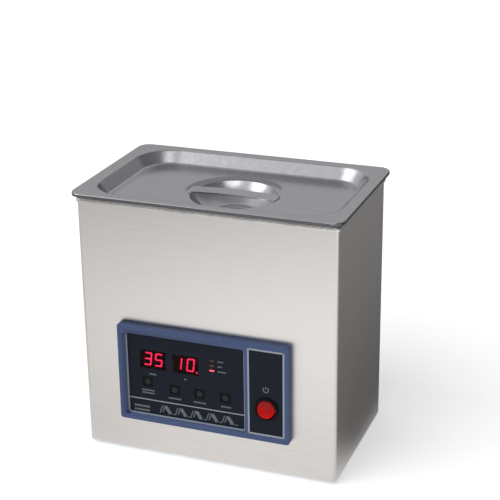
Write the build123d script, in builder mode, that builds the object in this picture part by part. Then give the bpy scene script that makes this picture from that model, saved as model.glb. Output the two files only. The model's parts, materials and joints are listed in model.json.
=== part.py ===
from build123d import *

import math
import os

# Bench-top heated bath with an ultrasonic drive: a stainless case, a drawn tank with a
# lift-off pan lid, and a moulded control panel on the front.
# Millimetres, +Z up. The case is centred on X = 0 and Y = 0 and stands on Z = 0.
# The front faces -Y, so "out" of the panel is towards -Y.

# ---------------------------------------------------------------- driving dimensions
# Case
case_width = 255.0
case_depth = 153.0
case_height = 252.0
case_sheet = 1.0
case_bend = 4.0
fit_gap = 0.2
seat_gap = 0.1
level_slack = 0.01

# Feet
foot_height = 4.0
foot_r = 8.0
foot_inset_x = 26.0
foot_inset_y = 26.0
foot_screw_r = 2.0

# Lid
lid_overhang_x = 5.0
lid_overhang_y = 7.5
lid_sheet = 0.8
lid_skirt = 3.2
lid_corner_r = 12.0
lid_rim_gap = 5.2
rim_width_x = 12.2
rim_width_y = 10.4
well_corner_r = 37.0
well_depth = 12.0
well_inset = 9.2
dish_r = 48.5
dish_ledge_r = 42.0
dish_step = 2.5
dish_floor_r = 22.0
dish_depth = 18.0
dish_wall_r = 32.8
dish_wall_drop = 11.2
lid_edge_r = 1.2
well_floor_r = 3.0
strap_width = 16.0
strap_sheet = 1.5
strap_rise = 1.2
strap_edge = 1.6
strap_end = 3.6
strap_corner_r = 2.0

# Tank
tank_sheet = 1.0
room_under_tank = 153.0
tank_mouth_r = 4.0
tank_floor_r = 12.0
tank_skirt = 4.0
tank_edge_r = 2.4
skirt_gap = 0.3
lid_seat_gap = 0.3
gasket_thick = 1.0
gasket_width = 2.4
gasket_bend = 2.6

# Screws and small fixings
cross_length = 3.4
cross_width = 0.8
cross_depth = 0.9
thread_gap = 0.05
pan_head_r = 2.6
pan_head_height = 1.8
nut_flat = 7.0
nut_height = 3.2

# Control panel
panel_left = -88.7
panel_right = 84.2
panel_bottom = 34.6
panel_top = 134.6
panel_out = 7.5
panel_corner_r = 3.0
film = 0.5
power_film = 0.3
window_left = -83.0
window_right = 40.4
window_bottom = 38.8
window_top = 126.4
window_depth = 5.0
window_corner_r = 3.5
window_draft = 7.0
power_left = 43.3
power_right = 79.8
power_bottom = 40.9
power_top = 129.5
panel_wall = 2.0

# Displays, lamps, buttons and the power switch: places on the panel
display_centres = ((-54.5, 99.2), (-20.7, 99.2))
display_width = 26.6
display_height = 19.0
lamp_places = ((6.0, 107.8), (6.0, 102.7), (6.0, 97.5))
lamp_width = 6.0
lamp_height = 2.6
button_places = {
    "mode_button": (-60.2, 75.6),
    "heat_button": (-32.6, 71.0),
    "timer_button": (-6.9, 71.0),
    "start_button": (19.3, 71.0),
}
button_opening = 10.8
button_r = 3.1
button_travel = 0.8
switch_x = 61.8
switch_z = 69.0
switch_ring_r = 11.4
switch_hole_r = 9.4
switch_barrel_r = 10.8
switch_ring_out = 1.5
rocker_r = 8.5
rocker_pin_r = 1.2
rocker_pin_gap = 0.05
rocker_angle = 8.0

# Mains inlet
inlet_x = -70.0
inlet_z = 36.0
inlet_width = 27.0
inlet_height = 40.0
inlet_plate = 3.0
socket_width = 24.0
socket_height = 16.5
socket_depth = 16.0
drawer_width = 18.0
drawer_height = 9.0

# Ultrasonic drive
transducer_spacing = 96.0
horn_r = 22.5
stack_r = 19.0
horn_height = 26.0
piezo_height = 5.0
electrode_sheet = 0.4
back_mass_height = 18.0
glue_gap = 0.2

# ---------------------------------------------------------------- derived places
base_z = foot_height
case_top = base_z + case_height
half_w = case_width / 2
half_d = case_depth / 2
panel_face = -half_d - panel_out
flange_top = case_top + gasket_thick + tank_sheet
lid_under = flange_top + lid_rim_gap
lid_top = lid_under + lid_sheet
lid_half_x = half_w + lid_overhang_x
lid_half_y = half_d + lid_overhang_y
well_half_x = lid_half_x - rim_width_x
well_half_y = lid_half_y - rim_width_y
well_floor = lid_top - well_depth
well_slope = math.degrees(math.atan2(well_inset, well_depth))

# The lid's sloping wall rests in the tank's rounded mouth, so the mouth's place across
# the tank follows from the slope, the two radii and the seat gap.
slope_sin = math.sin(math.radians(well_slope))
slope_cos = math.cos(math.radians(well_slope))
mouth_drop = lid_top - (flange_top - tank_mouth_r)
mouth_offset = (
    mouth_drop * slope_sin - tank_mouth_r - lid_seat_gap - lid_sheet
) / slope_cos + tank_mouth_r
tank_half_x = well_half_x - mouth_offset
tank_half_y = well_half_y - mouth_offset
tank_corner_r = well_corner_r - mouth_offset
tank_under = base_z + room_under_tank
tank_floor = tank_under + tank_sheet
tank_depth = flange_top - tank_floor

os.makedirs("parts", exist_ok=True)


def save(piece, name):
    """Label a finished piece and write it to its own file."""
    piece.part.label = name
    export_step(piece.part, f"parts/{name}.step")


def front_plane(y):
    """A sketch plane facing out of the front, with its own x and y along X and Z."""
    return Plane(origin=(0, y, 0), x_dir=(1, 0, 0), z_dir=(0, -1, 0))


def rear_plane(y):
    """A sketch plane that faces out of the back, with its own x along -X."""
    return Plane(origin=(0, y, 0), x_dir=(-1, 0, 0), z_dir=(0, 1, 0))


def cross_drive(plane, spots):
    """The outline of the cross recess in a screw's head, at each spot."""
    with BuildSketch(plane) as recess:
        with Locations(*spots):
            Rectangle(cross_length, cross_width)
            Rectangle(cross_width, cross_length)
    return recess.sketch


# ---------------------------------------------------------------- case
panel_mid_x = (panel_left + panel_right) / 2
panel_mid_z = base_z + (panel_bottom + panel_top) / 2
panel_width = panel_right - panel_left
panel_height = panel_top - panel_bottom
cutout_margin = 7.0
cutout_width = panel_width - 2 * cutout_margin
cutout_height = panel_height - 2 * cutout_margin

# Front and sides are one sheet, bent at the corners, with two narrow returns at the back.
rear_sheet = 1.0
return_width = 16.0
wrap_back = half_d - rear_sheet - seat_gap
wrap_depth = wrap_back + half_d
wrap_mid_y = (wrap_back - half_d) / 2
rear_edge = 3.5
rear_half_w = half_w - rear_edge
rear_screw_inset = 10.0
rear_screw_rise = 24.0
rear_screw_heights = (rear_screw_rise, case_height / 2, case_height - rear_screw_rise)
rear_screw_r = 1.4
rear_screw_tail = 3.0
rear_screw_spots = [
    (sx * (half_w - rear_screw_inset), base_z + z) for sx in (-1, 1) for z in rear_screw_heights
]
with BuildPart() as case_wrap:
    with BuildSketch(Plane.XY.offset(base_z)):
        with Locations((0, wrap_mid_y)):
            RectangleRounded(case_width, wrap_depth, case_bend)
            RectangleRounded(
                case_width - 2 * case_sheet,
                wrap_depth - 2 * case_sheet,
                case_bend - case_sheet,
                mode=Mode.SUBTRACT,
            )
        with Locations((0, wrap_back)):
            Rectangle(case_width - 2 * return_width, 4 * case_sheet, mode=Mode.SUBTRACT)
    extrude(amount=case_height)
    with BuildSketch(front_plane(-half_d + 2 * case_sheet)):
        with Locations((panel_mid_x, panel_mid_z)):
            Rectangle(cutout_width, cutout_height)
    extrude(amount=3 * case_sheet, mode=Mode.SUBTRACT)
    with BuildSketch(front_plane(wrap_back)):
        with Locations(*rear_screw_spots):
            Circle(rear_screw_r + thread_gap)
    extrude(amount=case_sheet, mode=Mode.SUBTRACT)
save(case_wrap, "case_wrap")

# The rear panel is a flat sheet screwed to the two returns.
inlet_cut_width = inlet_width + 2 * fit_gap
inlet_cut_height = inlet_height + 2 * fit_gap
inlet_screw_step = 40.0
inlet_screw_r = 1.5
inlet_head_r = 2.8
inlet_screw_tail = 8.0
vent_place = (-30.0, 110.0)
vent_columns = 3
vent_rows = 7
base_vent_rows = 5
vent_slot_length = 46.0
vent_slot_width = 4.0
vent_step = 9.0
rear_bottom = base_z + fit_gap
rear_top = case_top - fit_gap
inlet_at = (-inlet_x, base_z + inlet_z)
with BuildPart() as rear_panel:
    with BuildSketch(rear_plane(half_d - rear_sheet)):
        with Locations((0, (rear_bottom + rear_top) / 2)):
            Rectangle(2 * rear_half_w, rear_top - rear_bottom)
        with Locations(*rear_screw_spots):
            Circle(rear_screw_r + fit_gap, mode=Mode.SUBTRACT)
        with Locations(inlet_at):
            Rectangle(inlet_cut_width, inlet_cut_height, mode=Mode.SUBTRACT)
            with Locations((-inlet_screw_step / 2, 0), (inlet_screw_step / 2, 0)):
                Circle(inlet_screw_r + seat_gap, mode=Mode.SUBTRACT)
        with Locations((vent_place[0], base_z + vent_place[1])):
            with GridLocations(vent_slot_length + vent_step, vent_step, vent_columns, vent_rows):
                SlotOverall(vent_slot_length, vent_slot_width, mode=Mode.SUBTRACT)
    extrude(amount=rear_sheet)
save(rear_panel, "rear_panel")

rear_head_r = 3.2
rear_head_height = 1.6
rear_head_dome = 0.9
rear_crosses = cross_drive(rear_plane(half_d + rear_head_height), rear_screw_spots)
with BuildPart() as rear_screws:
    with BuildSketch(rear_plane(half_d)):
        with Locations(*rear_screw_spots):
            Circle(rear_head_r)
    extrude(amount=rear_head_height)
    fillet(rear_screws.faces().group_by(Axis.Y)[-1].edges(), rear_head_dome)
    extrude(rear_crosses, amount=-cross_depth, mode=Mode.SUBTRACT)
    with BuildSketch(front_plane(half_d)):
        with Locations(*rear_screw_spots):
            Circle(rear_screw_r)
    extrude(amount=rear_sheet + case_sheet + rear_screw_tail)
save(rear_screws, "rear_screws")

# The base is a tray with its edges turned up inside the wrap.
base_flange = 12.0
base_clear = case_sheet + seat_gap
foot_places = [
    (sx * (half_w - foot_inset_x), sy * (half_d - foot_inset_y)) for sx in (-1, 1) for sy in (-1, 1)
]
with BuildPart() as base_plate:
    with BuildSketch(Plane.XY.offset(base_z)):
        with Locations((0, wrap_mid_y)):
            RectangleRounded(
                case_width - 2 * base_clear, wrap_depth - 2 * base_clear, case_bend - case_sheet
            )
    extrude(amount=base_flange)
    offset(amount=-case_sheet, openings=base_plate.faces().sort_by(Axis.Z)[-1])
    with BuildSketch(Plane.XY.offset(base_z)):
        with Locations(*foot_places):
            Circle(foot_screw_r + fit_gap)
        with GridLocations(vent_slot_length + vent_step, vent_step, vent_columns, base_vent_rows):
            SlotOverall(vent_slot_length, vent_slot_width)
    extrude(amount=case_sheet, mode=Mode.SUBTRACT)
save(base_plate, "base_plate")

# Rubber feet, each with a counterbored hole for its screw.
foot_bore_r = 4.2
foot_floor = 1.6
foot_edge_r = 0.6
foot_head_r = 3.7
foot_screw_tail = 5.0
with BuildPart() as feet:
    with BuildSketch():
        with Locations(*foot_places):
            Circle(foot_r)
    extrude(amount=foot_height)
    fillet(feet.edges().group_by(Axis.Z)[0], foot_edge_r)
    with BuildSketch():
        with Locations(*foot_places):
            Circle(foot_screw_r + fit_gap)
    extrude(amount=foot_height, mode=Mode.SUBTRACT)
    with BuildSketch():
        with Locations(*foot_places):
            Circle(foot_bore_r)
    extrude(amount=foot_height - foot_floor, mode=Mode.SUBTRACT)
save(feet, "feet")

foot_head_z = foot_height - foot_floor - pan_head_height
foot_crosses = cross_drive(Plane.XY.offset(foot_head_z), foot_places)
with BuildPart() as foot_screws:
    with BuildSketch(Plane.XY.offset(foot_head_z)):
        with Locations(*foot_places):
            Circle(foot_head_r)
    extrude(amount=pan_head_height)
    extrude(foot_crosses, amount=cross_depth, mode=Mode.SUBTRACT)
    with BuildSketch(Plane.XY.offset(foot_height - foot_floor)):
        with Locations(*foot_places):
            Circle(foot_screw_r)
    extrude(amount=foot_floor + case_sheet + foot_screw_tail)
save(foot_screws, "foot_screws")

with BuildPart() as foot_nuts:
    with BuildSketch(Plane.XY.offset(base_z + case_sheet)):
        with Locations(*foot_places):
            RegularPolygon(nut_flat / 2, 6, major_radius=False)
            Circle(foot_screw_r + thread_gap, mode=Mode.SUBTRACT)
    extrude(amount=nut_height)
save(foot_nuts, "foot_nuts")

# ---------------------------------------------------------------- tank


def mouth_loop(flange, z, out):
    """The level edges where the bowl's wall, "out" from its inside, meets the flange at z."""
    reach = out + tank_sheet / 2
    return flange.edges().filter_by(
        lambda edge: abs(edge.bounding_box().min.Z - z) < level_slack
        and abs(edge.bounding_box().max.Z - z) < level_slack
        and abs(edge.center().X) < tank_half_x + reach
        and abs(edge.center().Y) < tank_half_y + reach
    )


skirt_half_x = half_w + skirt_gap + tank_sheet
skirt_half_y = half_d + skirt_gap + tank_sheet
skirt_corner_r = case_bend + skirt_gap + tank_sheet

# The bowl's hollow, with its rounded floor, is a construction piece that the tank is cut by.
with BuildPart() as tank_hollow:
    with BuildSketch(Plane.XY.offset(tank_floor)):
        RectangleRounded(2 * tank_half_x, 2 * tank_half_y, tank_corner_r)
    extrude(amount=tank_depth + tank_sheet)
    fillet(tank_hollow.faces().sort_by(Axis.Z)[0].edges(), tank_floor_r)

with BuildPart() as tank:
    # flange with its edge turned down over the case
    with BuildSketch(Plane.XY.offset(flange_top - tank_skirt)):
        RectangleRounded(2 * skirt_half_x, 2 * skirt_half_y, skirt_corner_r)
    extrude(amount=tank_skirt)
    fillet(tank.faces().sort_by(Axis.Z)[-1].edges(), tank_edge_r)
    with BuildSketch(Plane.XY.offset(flange_top - tank_skirt)):
        RectangleRounded(
            2 * (skirt_half_x - tank_sheet),
            2 * (skirt_half_y - tank_sheet),
            skirt_corner_r - tank_sheet,
        )
    extrude(amount=tank_skirt - tank_sheet, mode=Mode.SUBTRACT)
    # outside of the bowl
    with BuildSketch(Plane.XY.offset(tank_under)):
        RectangleRounded(
            2 * (tank_half_x + tank_sheet),
            2 * (tank_half_y + tank_sheet),
            tank_corner_r + tank_sheet,
        )
    extrude(amount=flange_top - tank_sheet / 2 - tank_under)
    fillet(tank.faces().sort_by(Axis.Z)[0].edges(), tank_floor_r + tank_sheet)
    fillet(mouth_loop(tank, flange_top - tank_sheet, tank_sheet), tank_mouth_r - tank_sheet)
    # inside of the bowl, and its rounded mouth
    add(tank_hollow.part, mode=Mode.SUBTRACT)
    fillet(mouth_loop(tank, flange_top, 0), tank_mouth_r)
save(tank, "tank")

# Rubber strip between the top edge of the case and the tank's flange.
with BuildPart() as tank_gasket:
    with BuildSketch(Plane.XY.offset(case_top)):
        RectangleRounded(case_width, case_depth, case_bend)
        RectangleRounded(
            case_width - 2 * gasket_width,
            case_depth - 2 * gasket_width,
            gasket_bend,
            mode=Mode.SUBTRACT,
        )
    extrude(amount=gasket_thick)
save(tank_gasket, "tank_gasket")

# ---------------------------------------------------------------- lid
ledge_z = well_floor - dish_step
dish_floor = ledge_z - dish_depth
with BuildPart() as lid_pan:
    with BuildSketch(Plane.XY.offset(lid_top - lid_skirt)):
        RectangleRounded(2 * lid_half_x, 2 * lid_half_y, lid_corner_r)
    extrude(amount=lid_skirt)
    fillet(lid_pan.faces().sort_by(Axis.Z)[-1].edges(), lid_edge_r)
    with BuildSketch(Plane.XY.offset(lid_top - lid_skirt)):
        RectangleRounded(
            2 * (lid_half_x - lid_sheet), 2 * (lid_half_y - lid_sheet), lid_corner_r - lid_sheet
        )
    extrude(amount=lid_skirt - lid_sheet, mode=Mode.SUBTRACT)
    # outside of the well: the same slope, one sheet further out
    wall_out = lid_sheet / slope_cos
    with BuildSketch(Plane.XY.offset(lid_top)):
        RectangleRounded(
            2 * (well_half_x + wall_out), 2 * (well_half_y + wall_out), well_corner_r + wall_out
        )
    extrude(amount=-(well_depth + lid_sheet), taper=well_slope)
    fillet(lid_pan.faces().sort_by(Axis.Z)[0].edges(), well_floor_r + lid_sheet)
    # outside of the round dish
    with BuildSketch(Plane.XZ):
        with BuildLine():
            Polyline(
                (0, well_floor - lid_sheet / 2),
                (dish_r + lid_sheet, well_floor - lid_sheet / 2),
                (dish_r - dish_step + lid_sheet, ledge_z - lid_sheet),
                (dish_ledge_r + lid_sheet, ledge_z - lid_sheet),
            )
            ThreePointArc(
                (dish_ledge_r + lid_sheet, ledge_z - lid_sheet),
                (dish_wall_r + lid_sheet, ledge_z - dish_wall_drop - lid_sheet),
                (dish_floor_r, dish_floor - lid_sheet),
            )
            Polyline(
                (dish_floor_r, dish_floor - lid_sheet),
                (0, dish_floor - lid_sheet),
                (0, well_floor - lid_sheet / 2),
            )
        make_face()
    revolve(axis=Axis.Z)
    # inside of the well
    with BuildSketch(Plane.XY.offset(lid_top)):
        RectangleRounded(2 * well_half_x, 2 * well_half_y, well_corner_r)
    extrude(amount=-well_depth, taper=well_slope, mode=Mode.SUBTRACT)
    inner_well = lid_pan.faces().filter_by(Axis.Z).filter_by(
        lambda face: abs(face.center().Z - well_floor) < level_slack
    )
    fillet(inner_well.edges().filter_by(lambda edge: edge.center().length > dish_r), well_floor_r)
    # inside of the dish
    with BuildSketch(Plane.XZ):
        with BuildLine():
            Polyline(
                (0, well_floor + lid_sheet),
                (dish_r, well_floor + lid_sheet),
                (dish_r, well_floor),
                (dish_r - dish_step, ledge_z),
                (dish_ledge_r, ledge_z),
            )
            ThreePointArc(
                (dish_ledge_r, ledge_z),
                (dish_wall_r, ledge_z - dish_wall_drop),
                (dish_floor_r, dish_floor),
            )
            Polyline((dish_floor_r, dish_floor), (0, dish_floor), (0, well_floor + lid_sheet))
        make_face()
    revolve(axis=Axis.Z, mode=Mode.SUBTRACT)
save(lid_pan, "lid_pan")

# Flat strap across the dish, its two ends welded to the ledge.
strap_half = dish_r - dish_step - strap_edge
with BuildPart() as lid_strap:
    with BuildSketch(Plane.XZ):
        with BuildLine():
            Polyline((-strap_half, ledge_z), (-strap_half + strap_end, ledge_z))
            ThreePointArc(
                (-strap_half + strap_end, ledge_z),
                (0, ledge_z + strap_rise),
                (strap_half - strap_end, ledge_z),
            )
            Polyline(
                (strap_half - strap_end, ledge_z),
                (strap_half, ledge_z),
                (strap_half, ledge_z + strap_sheet),
                (strap_half - strap_end, ledge_z + strap_sheet),
            )
            ThreePointArc(
                (strap_half - strap_end, ledge_z + strap_sheet),
                (0, ledge_z + strap_rise + strap_sheet),
                (-strap_half + strap_end, ledge_z + strap_sheet),
            )
            Polyline(
                (-strap_half + strap_end, ledge_z + strap_sheet),
                (-strap_half, ledge_z + strap_sheet),
                (-strap_half, ledge_z),
            )
        make_face()
    extrude(amount=strap_width / 2, both=True)
    fillet(lid_strap.edges().filter_by(Axis.Z), strap_corner_r)
save(lid_strap, "lid_strap")

# ---------------------------------------------------------------- control panel
overlay_y = panel_face + window_depth
floor_y = overlay_y + film
draft_in = window_depth * math.tan(math.radians(window_draft))
window_width = window_right - window_left
window_height = window_top - window_bottom
window_x = (window_left + window_right) / 2
window_z = base_z + (window_bottom + window_top) / 2
overlay_width = window_width - 2 * draft_in - fit_gap
overlay_height = window_height - 2 * draft_in - fit_gap
power_width = power_right - power_left
power_height = power_top - power_bottom
power_x = (power_left + power_right) / 2
power_z = base_z + (power_bottom + power_top) / 2
button_spots = [(x, base_z + z) for x, z in button_places.values()]
display_spots = [(x, base_z + z) for x, z in display_centres]
lamp_spots = [(x, base_z + z) for x, z in lamp_places]
switch_at = (switch_x, base_z + switch_z)
boss_r = 3.5
boss_bore_r = 1.3
board_screw_tail = 6.0
board_width = 122.0
board_height = 84.0
board_edge = 5.0
board_from_front = 9.0
bezel_edge_r = 0.8
board_y = -half_d + board_from_front
board_corners = [
    (window_x + sx * (board_width / 2 - board_edge), window_z + sz * (board_height / 2 - board_edge))
    for sx in (-1, 1)
    for sz in (-1, 1)
]
board_standoff = board_y - (-half_d)

with BuildPart() as panel_bezel:
    with BuildSketch(front_plane(-half_d)):
        with Locations((panel_mid_x, panel_mid_z)):
            RectangleRounded(panel_width, panel_height, panel_corner_r)
    extrude(amount=panel_out)
    fillet(panel_bezel.faces().sort_by(Axis.Y)[0].edges(), bezel_edge_r)
    # display window, sunk into the face
    with BuildSketch(front_plane(panel_face)):
        with Locations((window_x, window_z)):
            RectangleRounded(window_width, window_height, window_corner_r)
    extrude(amount=-(window_depth + film), taper=window_draft, mode=Mode.SUBTRACT)
    # shallow seat for the film round the power switch
    with BuildSketch(front_plane(panel_face)):
        with Locations((power_x, power_z)):
            Rectangle(power_width, power_height)
    extrude(amount=-power_film, mode=Mode.SUBTRACT)
    # the power side is hollow behind its front wall
    with BuildSketch(front_plane(-half_d)):
        with Locations((power_x, power_z)):
            Rectangle(power_width - 2 * panel_wall, power_height - 2 * panel_wall)
    extrude(amount=panel_out - power_film - panel_wall, mode=Mode.SUBTRACT)
    with BuildSketch(front_plane(-half_d)):
        with Locations(switch_at):
            Circle(switch_barrel_r + fit_gap)
    extrude(amount=panel_out, mode=Mode.SUBTRACT)
    # openings in the floor of the window
    with BuildSketch(front_plane(-half_d)):
        with Locations(*display_spots):
            Rectangle(display_width, display_height)
        with Locations(*lamp_spots):
            Rectangle(lamp_width, lamp_height)
        with Locations(*button_spots):
            Rectangle(button_opening, button_opening)
    extrude(amount=panel_out, mode=Mode.SUBTRACT)
    # pillars that carry the control board behind the case front
    with BuildSketch(front_plane(-half_d)):
        with Locations(*board_corners):
            Circle(boss_r)
            Circle(boss_bore_r, mode=Mode.SUBTRACT)
    extrude(amount=-board_standoff)
save(panel_bezel, "panel_bezel")

with BuildPart() as display_overlay:
    with BuildSketch(front_plane(floor_y)):
        with Locations((window_x, window_z)):
            RectangleRounded(overlay_width, overlay_height, window_corner_r - draft_in)
        with Locations(*display_spots):
            Rectangle(display_width, display_height, mode=Mode.SUBTRACT)
        with Locations(*lamp_spots):
            Rectangle(lamp_width, lamp_height, mode=Mode.SUBTRACT)
        with Locations(*button_spots):
            Rectangle(button_opening, button_opening, mode=Mode.SUBTRACT)
    extrude(amount=film)
save(display_overlay, "display_overlay")

with BuildPart() as power_overlay:
    with BuildSketch(front_plane(panel_face + power_film)):
        with Locations((power_x, power_z)):
            Rectangle(power_width - fit_gap, power_height - fit_gap)
        with Locations(switch_at):
            Circle(switch_barrel_r + fit_gap, mode=Mode.SUBTRACT)
    extrude(amount=power_film)
save(power_overlay, "power_overlay")

# Tinted windows that fill the overlay's display openings.
lens_thick = 1.5
with BuildPart() as display_windows:
    with BuildSketch(front_plane(overlay_y + lens_thick)):
        with Locations(*display_spots):
            Rectangle(display_width - fit_gap, display_height - fit_gap)
    extrude(amount=lens_thick)
save(display_windows, "display_windows")

# Control board on the bezel's pillars.
board_thick = 1.6
with BuildPart() as control_board:
    with BuildSketch(front_plane(board_y + board_thick)):
        with Locations((window_x, window_z)):
            Rectangle(board_width, board_height)
        with Locations(*board_corners):
            Circle(boss_bore_r + fit_gap, mode=Mode.SUBTRACT)
    extrude(amount=board_thick)
save(control_board, "control_board")

board_screw_spots = [(-x, z) for x, z in board_corners]
board_crosses = cross_drive(rear_plane(board_y + board_thick + pan_head_height), board_screw_spots)
with BuildPart() as board_screws:
    with BuildSketch(rear_plane(board_y + board_thick)):
        with Locations(*board_screw_spots):
            Circle(pan_head_r)
    extrude(amount=pan_head_height)
    extrude(board_crosses, amount=-cross_depth, mode=Mode.SUBTRACT)
    with BuildSketch(front_plane(board_y + board_thick)):
        with Locations(*board_corners):
            Circle(boss_bore_r - thread_gap)
    extrude(amount=board_thick + board_screw_tail)
save(board_screws, "board_screws")

# Two-digit display modules, standing on the board behind their windows.
module_edge_x = 0.5
module_edge_z = 0.3
module_front = overlay_y + lens_thick + seat_gap
for side, spot in zip(("left", "right"), display_spots):
    with BuildPart() as digit_module:
        with BuildSketch(front_plane(board_y)):
            with Locations(spot):
                Rectangle(display_width - 2 * module_edge_x, display_height - 2 * module_edge_z)
        extrude(amount=board_y - module_front)
    save(digit_module, f"digit_display_{side}")

# Rectangular lamps, one above the other.
with BuildPart() as indicator_lamps:
    with BuildSketch(front_plane(board_y)):
        with Locations(*lamp_spots):
            Rectangle(lamp_width - fit_gap, lamp_height - fit_gap)
    extrude(amount=board_y - overlay_y)
save(indicator_lamps, "indicator_lamps")

# Square push-switch housings with a round bore, and one plunger in each.
key_front = floor_y
key_half = (button_opening - fit_gap) / 2
key_floor = 2.0
key_bore_r = button_r + fit_gap
with BuildPart() as key_housings:
    with BuildSketch(front_plane(board_y)):
        with Locations(*button_spots):
            Rectangle(2 * key_half, 2 * key_half)
    extrude(amount=board_y - key_front)
    with BuildSketch(front_plane(board_y - key_floor)):
        with Locations(*button_spots):
            Circle(key_bore_r)
    extrude(amount=board_y - key_floor - key_front, mode=Mode.SUBTRACT)
save(key_housings, "key_housings")

button_proud = 0.2
button_edge_r = 0.4
button_front = overlay_y - button_proud
for name, (x, z) in button_places.items():
    with BuildPart() as button:
        with BuildSketch(front_plane(board_y - key_floor - button_travel - seat_gap)):
            with Locations((x, base_z + z)):
                Circle(button_r)
        extrude(amount=board_y - key_floor - button_travel - seat_gap - button_front)
        fillet(button.faces().sort_by(Axis.Y)[0].edges(), button_edge_r)
    save(button, name)

# ---------------------------------------------------------------- power switch
switch_lip = 0.6
ring_edge_r = 0.7
rocker_well = 8.0
barrel_depth = 17.0
pivot_depth = 3.0
blade_width = 6.3
blade_sheet = 0.8
blade_length = 9.0
blade_step = 6.0
ring_front = panel_face - switch_ring_out
barrel_back = panel_face + barrel_depth
pivot_y = ring_front + pivot_depth
pin_bore_r = rocker_pin_r + rocker_pin_gap
with BuildPart() as switch_frame:
    with BuildSketch(front_plane(panel_face)):
        with Locations(switch_at):
            Circle(switch_ring_r + switch_lip)
            Circle(switch_hole_r, mode=Mode.SUBTRACT)
    extrude(amount=switch_ring_out)
    fillet(switch_frame.faces().sort_by(Axis.Y)[0].edges(), ring_edge_r)
    with BuildSketch(front_plane(barrel_back)):
        with Locations(switch_at):
            Circle(switch_barrel_r)
    extrude(amount=barrel_back - panel_face)
    with BuildSketch(front_plane(panel_face + rocker_well)):
        with Locations(switch_at):
            Circle(switch_hole_r)
    extrude(amount=rocker_well + switch_ring_out, mode=Mode.SUBTRACT)
    # bores for the rocker's two pins, through the barrel wall
    with BuildSketch(Plane.YZ.offset(switch_x)):
        with Locations((pivot_y, switch_at[1])):
            Circle(pin_bore_r)
    extrude(amount=switch_ring_r, both=True, mode=Mode.SUBTRACT)
    # three blades at the back
    with BuildSketch(front_plane(barrel_back + blade_length)):
        with Locations(switch_at):
            with GridLocations(0, blade_step, 1, 3):
                Rectangle(blade_width, blade_sheet)
    extrude(amount=blade_length)
save(switch_frame, "switch_frame")

# The rocker has two flat halves that meet at a shallow angle; it rests with its top
# half pressed in, which is the on side. Its pivot lies along X.
rocker_back = 3.5
rocker_dish = 1.2
rocker_lift = 2.8
rocker_slope = math.tan(math.radians(rocker_angle))
with BuildPart() as power_rocker:
    with BuildSketch(front_plane(pivot_y + rocker_back)):
        with Locations(switch_at):
            Circle(rocker_r)
    extrude(amount=rocker_back + rocker_lift + rocker_dish)
    with BuildSketch(Plane.YZ.offset(switch_x)):
        with BuildLine():
            valley = (pivot_y - rocker_lift, switch_at[1])
            far_y = pivot_y - rocker_lift - 2 * rocker_r * rocker_slope
            Polyline(
                valley,
                (far_y, switch_at[1] + 2 * rocker_r),
                (far_y - rocker_r, switch_at[1] + 2 * rocker_r),
                (far_y - rocker_r, switch_at[1] - 2 * rocker_r),
                (far_y, switch_at[1] - 2 * rocker_r),
                valley,
            )
        make_face()
    extrude(amount=2 * rocker_r, both=True, mode=Mode.SUBTRACT)
    with BuildSketch(Plane.YZ.offset(switch_x)):
        with Locations((pivot_y, switch_at[1])):
            Circle(rocker_pin_r)
    extrude(amount=switch_barrel_r - fit_gap, both=True)
rocker_axis = Axis((switch_x, pivot_y, switch_at[1]), (1, 0, 0))
power_rocker.part = power_rocker.part.rotate(rocker_axis, -rocker_angle)
save(power_rocker, "power_rocker")

# ---------------------------------------------------------------- mains inlet
# A fused appliance inlet: earth-pin socket below, a small fuse drawer above it.
inlet_body_depth = 24.0
drawer_depth = 20.0
drawer_face = 1.0
drawer_end_gap = 0.5
inlet_ear_r = 4.0
inlet_lip = 2.0
inlet_corner_r = 3.0
socket_drop = 7.0
drawer_rise = 12.0
socket_corner = 4.5
pin_tip = 0.5
pin_width = 4.0
pin_sheet = 2.0
pin_recess = 5.5
pin_spots = ((0, 2.0), (-7.0, -2.0), (7.0, -2.0))
inlet_face = half_d + inlet_plate
socket_at = (-inlet_x, base_z + inlet_z - socket_drop)
drawer_at = (-inlet_x, base_z + inlet_z + drawer_rise)
inlet_screw_spots = [(-inlet_x + sx * inlet_screw_step / 2, inlet_at[1]) for sx in (-1, 1)]
with BuildPart() as mains_inlet:
    with BuildSketch(rear_plane(half_d)):
        with Locations(inlet_at):
            Rectangle(inlet_screw_step, 2 * inlet_ear_r)
            RectangleRounded(inlet_width + 2 * inlet_lip, inlet_height + 2 * inlet_lip, inlet_corner_r)
        with Locations(*inlet_screw_spots):
            Circle(inlet_ear_r)
        with Locations(*inlet_screw_spots):
            Circle(inlet_screw_r + fit_gap, mode=Mode.SUBTRACT)
    extrude(amount=inlet_plate)
    with BuildSketch(rear_plane(half_d - inlet_body_depth)):
        with Locations(inlet_at):
            Rectangle(inlet_width, inlet_height)
    extrude(amount=inlet_body_depth)
    # the socket, with its two lower corners cut off
    with BuildSketch(rear_plane(inlet_face)):
        with Locations(socket_at):
            socket_outline = Rectangle(socket_width, socket_height)
        chamfer(socket_outline.vertices().group_by(Axis.Y)[0], socket_corner)
    extrude(amount=-socket_depth, mode=Mode.SUBTRACT)
    with BuildSketch(rear_plane(inlet_face)):
        with Locations(drawer_at):
            Rectangle(drawer_width + 2 * fit_gap, drawer_height + 2 * fit_gap)
    extrude(amount=-(drawer_depth + drawer_face), mode=Mode.SUBTRACT)
save(mains_inlet, "mains_inlet")

with BuildPart() as inlet_pins:
    with BuildSketch(rear_plane(inlet_face - socket_depth)):
        with Locations(socket_at):
            with Locations(*pin_spots):
                Rectangle(pin_sheet, pin_width)
    extrude(amount=socket_depth - pin_recess)
    chamfer(inlet_pins.faces().group_by(Axis.Y)[-1].edges(), pin_tip)
save(inlet_pins, "inlet_pins")

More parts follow.
